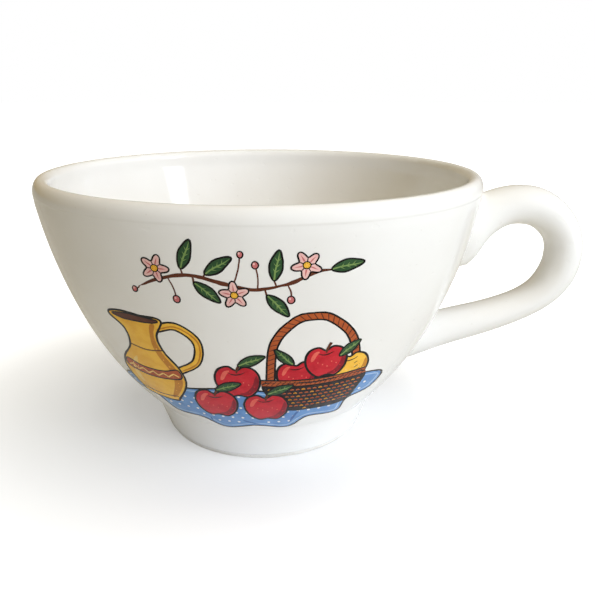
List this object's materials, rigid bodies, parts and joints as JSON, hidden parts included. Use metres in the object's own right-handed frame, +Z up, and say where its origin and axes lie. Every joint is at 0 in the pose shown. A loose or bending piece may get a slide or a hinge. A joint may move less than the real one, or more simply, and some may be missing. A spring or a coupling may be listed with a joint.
{
  "type": "cider bowl",
  "caption": "White glazed ceramic bowl on a short tapered foot, with a loop handle at one side and a printed still life of fruit on the front, for drinking cider.",
  "frame": {"origin": "on the bowl's axis, in the plane of the ring that it stands on", "axes": "+Z up along the bowl's axis, +X towards the handle, -Y towards the printed front"},
  "size_m": [0.1413, 0.11, 0.0683],
  "materials": {
    "clay": "fired, matt, bare at the foot",
    "slip": "fired, matt",
    "glaze": "glossy white glaze",
    "print_blue": "glossy enamel",
    "print_yellow": "glossy enamel",
    "print_red": "glossy enamel",
    "print_green": "glossy enamel",
    "print_brown": "glossy enamel",
    "print_pink": "glossy enamel",
    "print_black": "glossy enamel"
  },
  "bodies": {
    "root": {"bowl": "clay", "handle": "clay", "upper_slip_joint": "slip", "lower_slip_joint": "slip", "bowl_glaze": "glaze", "handle_glaze": "glaze", "print_blue": "print_blue", "print_yellow": "print_yellow", "print_red": "print_red", "print_green": "print_green", "print_brown": "print_brown", "print_pink": "print_pink", "print_black": "print_black"}
  },
  "joints": []
}
